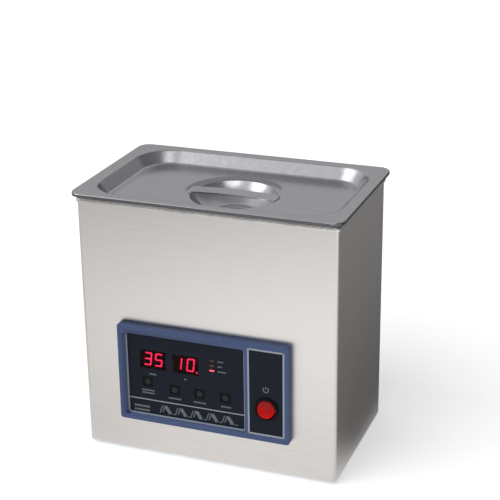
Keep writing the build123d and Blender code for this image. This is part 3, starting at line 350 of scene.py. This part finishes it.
# the press leaves a rounded lip where the rim turns down into the well
lip_r = 1.6 * MM
lip_segments = 5
flat_within = 0.01 * MM
same_plane = math.radians(0.5)
lid_half = Vector(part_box("lid_pan")[1])
lid_skin = bpy.data.objects["lid_pan_finish"].data
lid_mesh = bmesh.new()
lid_mesh.from_mesh(lid_skin)
bmesh.ops.dissolve_limit(lid_mesh, angle_limit=same_plane, verts=lid_mesh.verts,
                         edges=lid_mesh.edges)
lip = [e for e in lid_mesh.edges if all(abs(v.co.z - lid_half.z) < flat_within for v in e.verts)
       and e.is_manifold and e.calc_face_angle() > sharpest_bend]
bmesh.ops.bevel(lid_mesh, geom=lip, affect="EDGES", offset=lip_r, segments=lip_segments,
                profile=0.5, material=-1)
for face in lid_mesh.faces:
    face.smooth = True
lid_mesh.to_mesh(lid_skin)
lid_mesh.free()
lid_skin.set_sharp_from_angle(angle=sharpest_bend)
hem_depth = 4 * MM
hem_reach = 8 * MM
hem_upright = 0.35
# painted shade: the upright outer faces of the rim's edge get a darker steel, standing in for the
# shadowed gap under the lid's rim
painted_shade_edge = surface("stainless steel, rolled edge, painted shade", "#6C6A6C", "#7A787A", 0.36, 4 * MM, Metallic=1.0)
lid_skin.materials.append(painted_shade_edge)
for face in lid_skin.polygons:
    outward = max(abs(face.center.x) - lid_half.x, abs(face.center.y) - lid_half.y)
    upright = abs(face.normal.z) < hem_upright
    if upright and face.center.z > lid_half.z - hem_depth and outward > -hem_reach:
        face.material_index = 1

# ------------------------------------------------------------------ panel bezel
# One injection-moulded ABS frame in grey blue, bonded to the front of the case round both
# films. The spark texture of its mould keeps it nearly matt.
blue_abs = surface("ABS, moulded with a spark texture", "#34456B", "#3C4E75", 0.54, 0.7 * MM,
                   bump=0.35)
smooth_copy(blue_abs, "panel_bezel")

# ------------------------------------------------------------------ panel films
# Screen-printed polyester films: one on the floor of the sunk window, one round the
# switch. Dark navy and nearly matt, with grey frames, a wave, and plain marks in place of
# words. The ink lies on the film as a thin, slightly raised layer.
navy = surface("polyester film, screen printed navy", "#0B101C", "#0F1524", 0.40, 3 * MM, bump=0.02,
               Specular_IOR_Level=0.16)
dress(navy, "display_overlay", "power_overlay")
grey_ink = surface("screen ink, grey", "#8A909C", "#989EA9", 0.5, 1.2 * MM)
faint_ink = surface("screen ink, dark grey", "#565C66", "#646A75", 0.5, 1.2 * MM)
mark_ink = surface("screen ink, mid grey", "#646A74", "#70767F", 0.5, 1.2 * MM)
ink = 0.05 * MM


def take(mesh, part):
    """Add one bmesh to another."""
    bmesh.ops.recalc_face_normals(part, faces=part.faces)
    holder = bpy.data.meshes.new("holder")
    part.to_mesh(holder)
    part.free()
    mesh.from_mesh(holder)
    bpy.data.meshes.remove(holder)


def plate(mesh, x, z, width, height, corner, front, thick=ink, rim=0.0, lean=0.0, rounding=4):
    """Add a flat plate whose front faces -Y, with cut or rounded corners.

    With rim it is only a frame of that width, and lean slants it to one side.
    """
    part = bmesh.new()
    bmesh.ops.create_grid(part, x_segments=1, y_segments=1, size=0.5)
    bmesh.ops.scale(part, vec=(width, height, 1), verts=part.verts)
    if corner:
        bmesh.ops.bevel(part, geom=part.verts[:], affect="VERTICES", offset=corner,
                        segments=rounding, profile=0.5, material=-1)
    if rim:
        band = set(bmesh.ops.inset_region(part, faces=part.faces[:], thickness=rim,
                                          use_boundary=True, use_even_offset=True)["faces"])
        bmesh.ops.delete(part, geom=[f for f in part.faces if f not in band], context="FACES")
    grown = bmesh.ops.extrude_face_region(part, geom=part.faces[:], use_keep_orig=True)["geom"]
    bmesh.ops.translate(part, vec=(0, 0, thick),
                        verts=[v for v in grown if isinstance(v, bmesh.types.BMVert)])
    slant = Matrix.Identity(4)
    slant[0][1] = lean
    part.transform(Matrix.Translation((x, front + thick, z)) @ Matrix.Rotation(math.pi / 2, 4, "X")
                   @ slant)
    take(mesh, part)


# Both films have a frame, and a line parts the bottom strip from the rest of the left one.
film_low, film_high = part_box("display_overlay")
film_front = film_low.y - ink
film_mid_x = (film_low.x + film_high.x) / 2
film_mid_z = (film_low.z + film_high.z) / 2
film_corner = 2.9 * MM
power_low, power_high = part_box("power_overlay")
power_front = power_low.y - ink
power_mid_x = (power_low.x + power_high.x) / 2
power_mid_z = (power_low.z + power_high.z) / 2
power_corner = 0.6 * MM
line = 1.7 * MM
strip_z = 60.2 * MM
strip_line = 1.0 * MM
lines = bmesh.new()
plate(lines, film_mid_x, film_mid_z, film_high.x - film_low.x, film_high.z - film_low.z,
      film_corner, film_front, rim=line)
plate(lines, film_mid_x, strip_z, film_high.x - film_low.x - 2 * line, strip_line, 0, film_front)
plate(lines, power_mid_x, power_mid_z, power_high.x - power_low.x, power_high.z - power_low.z,
      power_corner, power_front, rim=line)
piece("printed_frames", lines, grey_ink, "case")

# A row of five slanted bars with thin risers, the usual sign for ultrasound.
wave_bars = 5
wave_left = -47.5 * MM
wave_step = 16.0 * MM
wave_z = 52.0 * MM
wave_height = 8.4 * MM
riser_width = 1.1 * MM
riser_lean = 0.35
riser_step = 2.6 * MM
riser_short = 0.72
bar_at = 7.2 * MM
bar_width = 4.2 * MM
bar_lean = -0.62
base_at = 12.4 * MM
base_length = 4.6 * MM
base_line = 1.0 * MM
wave = bmesh.new()
for k in range(wave_bars):
    x = wave_left + k * wave_step
    plate(wave, x, wave_z, riser_width, wave_height, 0, film_front, lean=riser_lean)
    plate(wave, x + riser_step, wave_z, riser_width, wave_height * riser_short, 0, film_front,
          lean=riser_lean)
    plate(wave, x + bar_at, wave_z, bar_width, wave_height, 0, film_front, lean=bar_lean)
    plate(wave, x + base_at, wave_z - wave_height / 2 + base_line / 2, base_length, base_line, 0,
          film_front)
piece("printed_wave", wave, faint_ink, "case")

# Rows of small blocks in place of words: under the buttons and the displays, beside the
# lamps, and two larger ones at the left of the bottom strip.
word_height = 1.5 * MM
block_gap = 0.45 * MM
small_blocks = (1.1 * MM, 0.8 * MM, 1.2 * MM, 0.9 * MM)


def marks(mesh, x, z, width, height, front, blocks=small_blocks):
    """A row of small blocks in place of a word."""
    at = x - width / 2
    turn = 0
    while at < x + width / 2:
        step = blocks[turn % len(blocks)]
        plate(mesh, at + step / 2, z, step, height, 0, front)
        at += step + block_gap
        turn += 1


words = bmesh.new()
button_words = {
    "mode_button": (2, 13 * MM), "heat_button": (1, 13 * MM), "timer_button": (1, 13 * MM),
    "start_button": (1, 9 * MM),
}
button_drop = 6.2 * MM
button_line = 2.9 * MM
for name, (rows, width) in button_words.items():
    low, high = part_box(name)
    for row in range(rows):
        marks(words, (low.x + high.x) / 2, low.z - button_drop - row * button_line, width,
              word_height, film_front)
lamp_low, lamp_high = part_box("indicator_lamps")
lamp_tall = 2.4 * MM
lamp_step = (lamp_high.z - lamp_low.z - lamp_tall) / 2
lamp_word_gap = 3.2 * MM
lamp_word_height = 1.3 * MM
for k, width in enumerate((8.5 * MM, 4.0 * MM, 5.5 * MM)):
    marks(words, lamp_high.x + lamp_word_gap + width / 2,
          lamp_low.z + lamp_tall / 2 + k * lamp_step, width, lamp_word_height, film_front)
display_shift = 0.8 * MM
display_drop = 6.0 * MM
for name, width in {"digit_display_left": 6.0 * MM, "digit_display_right": 2.0 * MM}.items():
    low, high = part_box(name)
    marks(words, (low.x + high.x) / 2 - display_shift, low.z - display_drop, width, word_height,
          film_front)
strip_word_at = 14.4 * MM
strip_word_width = 15.5 * MM
strip_word_height = 2.0 * MM
strip_word_low = 4.6 * MM
strip_word_step = 4.2 * MM
large_blocks = (1.5 * MM, 1.1 * MM, 1.6 * MM, 1.2 * MM)
for row in range(2):
    marks(words, film_low.x + strip_word_at, film_low.z + strip_word_low + row * strip_word_step,
          strip_word_width, strip_word_height, film_front, large_blocks)
piece("printed_marks", words, mark_ink, "case")

# The sign for the mains switch: an open ring with a bar through its gap.
sign_z = 93.2 * MM
sign_r = 2.6 * MM
sign_line = 0.8 * MM
sign_open = math.radians(70)
sign_steps = 28
sign_bar_rise = 0.75 * sign_r
sign_bar_tall = 1.1 * sign_r
sign = bmesh.new()
bmesh.ops.create_grid(sign, x_segments=1, y_segments=1, size=0.5)
bmesh.ops.scale(sign, vec=(sign_line, ink, 1), verts=sign.verts)
bmesh.ops.translate(sign, vec=(0, 0, sign_r), verts=sign.verts)
sign.transform(Matrix.Rotation(sign_open / 2, 4, "Y") @ Matrix.Translation((0, 0, sign_r))
               @ Matrix.Rotation(math.pi / 2, 4, "Y") @ Matrix.Translation((0, 0, -sign_r)))
bmesh.ops.spin(sign, geom=sign.verts[:] + sign.edges[:] + sign.faces[:], cent=(0, 0, 0),
               axis=(0, 1, 0), angle=math.tau - sign_open, steps=sign_steps)
sign.transform(Matrix.Translation((power_mid_x, power_front + ink / 2, sign_z)))
bmesh.ops.recalc_face_normals(sign, faces=sign.faces)
plate(sign, power_mid_x, sign_z + sign_bar_rise, sign_line, sign_bar_tall, 0, power_front)
piece("printed_mains_sign", sign, mark_ink, "case")

# ------------------------------------------------------------------ displays
# Two LED modules of two digits each, behind windows of smoked red acrylic. Each segment is
# a lit bar in the module's dark face, and the ones that are off are dull red. The key
# housings and other plain black mouldings get their ABS here.
smoked = surface("acrylic, smoked red", "#A85468", "#B46074", 0.08, 6 * MM, spread=0.02, bump=0.0,
                 Transmission_Weight=1.0, IOR=1.15)
dress(smoked, "display_windows")
display_face = surface("epoxy-filled display, dark red", "#2A0C14", "#330F18", 0.6, 2 * MM,
                       Specular_IOR_Level=0.1)
dress(display_face, "digit_display_left", "digit_display_right")
black_abs = surface("ABS, moulded black", "#060608", "#0B0B0D", 0.46, 0.8 * MM, bump=0.2,
                    Specular_IOR_Level=0.12)
smooth_copy(black_abs, "switch_frame", "mains_inlet", "fuse_drawer")
dress(black_abs, "key_housings", "cable_plugs", "power_transistors", "thermal_cutout")
lit = surface("LED segment, lit", "#F03A70", "#F64A7C", 0.4, 2 * MM,
              Emission_Color=linear("#FF5C97"), Emission_Strength=2.1)
unlit = surface("LED segment, off", "#3C0E18", "#48121E", 0.5, 2 * MM, Specular_IOR_Level=0.1)
digit_height = 14.2 * MM
digit_width = 8.4 * MM
digit_lean = 0.12
segment = 1.9 * MM
segment_gap = 0.25 * MM
segment_point = segment * 0.42
dot_round = segment * 0.45
dot_from_right = 1.9 * MM
dot_from_foot = 2.2 * MM
half_tall = (digit_height - segment) / 4
half_wide = (digit_width - segment) / 2
segments = {
    "top": (0, 2, False), "middle": (0, 0, False), "bottom": (0, -2, False),
    "upper_left": (-1, 1, True), "upper_right": (1, 1, True),
    "lower_left": (-1, -1, True), "lower_right": (1, -1, True),
}
on_in = {
    "3": ("top", "middle", "bottom", "upper_right", "lower_right"),
    "5": ("top", "middle", "bottom", "upper_left", "lower_right"),
    "1": ("upper_right", "lower_right"),
    "0": ("top", "bottom", "upper_left", "upper_right", "lower_left", "lower_right"),
}
shown = {
    "digit_display_left": (("3", -5.5 * MM), ("5", 5.6 * MM)),
    "digit_display_right": (("1", -8.2 * MM), ("0", 4.6 * MM)),
}
bright = bmesh.new()
dull = bmesh.new()
for display, digits in shown.items():
    low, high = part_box(display)
    mid_x, mid_z = (low.x + high.x) / 2, (low.z + high.z) / 2
    for digit, shift in digits:
        for name, (across, along, upright) in segments.items():
            length = 2 * (half_tall if upright else half_wide) + segment / 2 - segment_gap
            thin = segment - segment_gap
            wide, tall = (thin, length) if upright else (length, thin)
            z = along * half_tall
            x = shift + across * half_wide + digit_lean * z
            plate(bright if name in on_in[digit] else dull, mid_x + x, mid_z + z, wide, tall,
                  segment_point, low.y - ink, lean=digit_lean, rounding=1)
low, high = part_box("digit_display_right")
plate(bright, high.x - dot_from_right, low.z + dot_from_foot, segment, segment, dot_round,
      low.y - ink)
piece("lit_segments", bright, lit, "case")
piece("unlit_segments", dull, unlit, "case")

# ------------------------------------------------------------------ lamps
# Three rectangular LEDs of cast epoxy with diffusing lenses, one above the other in holes
# of the film. The lowest is lit, and glows evenly.
lamp_body = surface("epoxy LED body, dark", "#120C0F", "#181013", 0.4, 1 * MM,
                    Specular_IOR_Level=0.15)
lamp_finishes = (
    surface("epoxy LED lens, lit red", "#E04058", "#E84C64", 0.35, 1 * MM,
            Emission_Color=linear("#FF4660"), Emission_Strength=1.2),
    surface("epoxy LED lens, amber", "#3C1F10", "#4A2814", 0.32, 1 * MM, Coat_Weight=0.3),
    surface("epoxy LED lens, red", "#2A0E10", "#381214", 0.32, 1 * MM, Coat_Weight=0.3),
)
lamp_corner = 0.4 * MM
lens_wide = 4.6 * MM
lens_tall = 1.6 * MM
lens_rise = 0.25 * MM
lamp_x = (lamp_low.x + lamp_high.x) / 2
for k, (name, finish) in enumerate(zip(("lamp_low", "lamp_middle", "lamp_top"), lamp_finishes)):
    lamp_z = lamp_low.z + lamp_tall / 2 + k * lamp_step
    body = bmesh.new()
    plate(body, lamp_x, lamp_z, lamp_high.x - lamp_low.x, lamp_tall, lamp_corner,
          lamp_low.y + lens_rise, thick=lamp_high.y - lamp_low.y - lens_rise)
    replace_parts(piece(name + "_body", body, lamp_body, "case"), "indicator_lamps")
    lens = bmesh.new()
    plate(lens, lamp_x, lamp_z, lens_wide, lens_tall, lamp_corner, lamp_low.y, thick=lens_rise)
    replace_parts(piece(name + "_lens", lens, finish, "case"), "indicator_lamps")

# ------------------------------------------------------------------ push buttons
# Four moulded plungers, each free to slide in its square black housing on the board. Their
# tops are matt, and a little lighter than the film.
key_cap = surface("ABS plunger, matt", "#181B20", "#20242A", 0.6, 0.6 * MM, bump=0.3,
                  Specular_IOR_Level=0.3)
smooth_copy(key_cap, "mode_button", "heat_button", "timer_button", "start_button")

# ------------------------------------------------------------------ power switch
# A round rocker of clear red polycarbonate, on two pins in a black ring, with the plain bar
# and ring signs printed on it. Its lower half glows with painted light, a painted highlight
# that fades to dark red at the top.
# painted glow: the rocker's emission runs from bright red at its bottom to dark red at its top, a
# painted highlight on the lower half
red_pc = surface("polycarbonate, polished red, painted glow", "#8C0806", "#980B08", 0.24, 2 * MM, spread=0.03,
                 bump=0.03, Specular_IOR_Level=0.15, Emission_Strength=0.42)
rock = next(j for j in frame["joints"] if j["name"] == "power_rock")
pivot = Vector(rock["pos_m"])
swing = math.radians(rock["range_deg"][1])
painted_glow_below = 6 * MM
painted_glow_above = 3 * MM
painted_glow_colours = ("#C8140A", "#280202")
rocker_tree = red_pc.node_tree
rocker_place = add(rocker_tree, "SeparateXYZ", (),
                   {"Vector": rocker_tree.nodes["Texture Coordinate"].outputs["Object"]})
painted_glow_height = add(rocker_tree, "MapRange",
                  {"From Min": pivot.z - painted_glow_below, "From Max": pivot.z + painted_glow_above},
                  {"Value": rocker_place.outputs["Z"]})
painted_glow_tint = add(rocker_tree, "ValToRGB", (), {"Fac": painted_glow_height.outputs["Result"]})
for element, colour in zip(painted_glow_tint.color_ramp.elements, painted_glow_colours):
    element.color = linear(colour)
rocker_tree.links.new(painted_glow_tint.outputs["Color"],
                      rocker_tree.nodes["Principled BSDF"].inputs["Emission Color"])
smooth_copy(red_pc, "power_rocker")
dark_red = surface("pad printing, dark red", "#7A0B0A", "#850E0C", 0.4, 1 * MM)
rocker_face = pivot.y - 2.773 * MM - ink
rocker_sign_rise = 4.7 * MM
on_width, on_height, on_corner = 4.2 * MM, 0.9 * MM, 0.2 * MM
off_width, off_height, off_corner, off_line = 3.4 * MM, 2.6 * MM, 1.1 * MM, 0.6 * MM
signs = bmesh.new()
plate(signs, pivot.x, pivot.z + rocker_sign_rise, on_width, on_height, on_corner, rocker_face)
off_sign = bmesh.new()
plate(off_sign, pivot.x, pivot.z - rocker_sign_rise, off_width, off_height, off_corner, rocker_face,
      rim=off_line)
# the lower half of the face is tilted by the rocker's whole swing
off_sign.transform(Matrix.Translation(pivot) @ Matrix.Rotation(-swing, 4, "X")
                   @ Matrix.Translation(-pivot))
take(signs, off_sign)
piece("rocker_signs", signs, dark_red, "rocker")

# ------------------------------------------------------------------ mains inlet
# Nickel-plated brass pins and blades pressed into the black inlet, bright and a little
# warm. One glass fuse with metal caps lies in the drawer.
nickel = surface("brass, nickel plated", "#B9B4A8", "#D8D3C6", 0.22, 2 * MM, Metallic=1.0)
dress(nickel, "inlet_pins", "inlet_blades", "electrodes", "board_posts")
tube = surface("glass tube with pressed caps", "#DCE4E4", "#EEF4F4", 0.05, 4 * MM, spread=0.02,
               bump=0.02, Transmission_Weight=0.9)
dress(tube, "fuse")

# ------------------------------------------------------------------ ultrasonic drive
# Turned aluminium horns, bonded under the tank, silvered piezo rings, and turned steel
# masses that a bolt clamps to them. The lathe leaves fine rings in both metals, and the
# fired silver on the ceramic is dull.
turned = surface("aluminium, turned", "#C4C5C8", "#DCDDDF", 0.3, 0.6 * MM, stretch=(8, 8, 1),
                 Metallic=1.0)
dress(turned, "transducer_horns", "heatsink")
silvered = surface("piezo ceramic, silvered", "#B8B19C", "#CFC8B4", 0.5, 1.2 * MM)
dress(silvered, "piezo_rings")
steel = surface("steel, turned and oiled", "#6E7074", "#8C8E92", 0.34, 0.7 * MM, stretch=(6, 6, 1),
                Metallic=1.0)
dress(steel, "back_masses", "transducer_bolts", "temperature_probe")

# ------------------------------------------------------------------ heating mat
# Orange silicone, pressed on a glass cloth whose weave shows through, and bonded to the
# tank. It is dull and slightly grainy.
silicone = surface("silicone on glass cloth, moulded", "#A8431A", "#C25524", 0.62, 1.4 * MM,
                   bump=0.5)
dress(silicone, "heating_mat")

# ------------------------------------------------------------------ boards and their pieces
# Two glass epoxy boards screwed to the case and its posts, with the moulded, wound and
# sleeved pieces of a drive on them. Solder mask is green and half gloss, ferrite dull and
# black, and the winding shows its turns.
mask = surface("glass epoxy board, green solder mask", "#0F4A24", "#17602F", 0.4, 5 * MM, bump=0.2)
dress(mask, "control_board", "generator_board")
ferrite = surface("ferrite, sintered", "#26262A", "#35353A", 0.55, 1 * MM)
dress(ferrite, "transformer_core")
copper = surface("copper wire, enamelled", "#8E4A20", "#B86A34", 0.3, 0.6 * MM, stretch=(6, 6, 1),
                 Metallic=0.8, bump=0.6)
dress(copper, "transformer_winding")
sleeve = surface("PVC sleeve, heat shrunk", "#12203E", "#1A2C52", 0.34, 3 * MM)
dress(sleeve, "capacitors")
relay_blue = surface("polyester, moulded blue", "#1C4482", "#255296", 0.4, 1 * MM)
dress(relay_blue, "relay")
green_pa = surface("polyamide, moulded green", "#1C7040", "#26824C", 0.5, 1 * MM)
dress(green_pa, "terminal_block")
grey_pvc = surface("PVC flat cable, extruded", "#8A8C90", "#A4A6AA", 0.48, 1.27 * MM,
                   stretch=(1, 40, 40), bump=0.6)
dress(grey_pvc, "ribbon_cable")
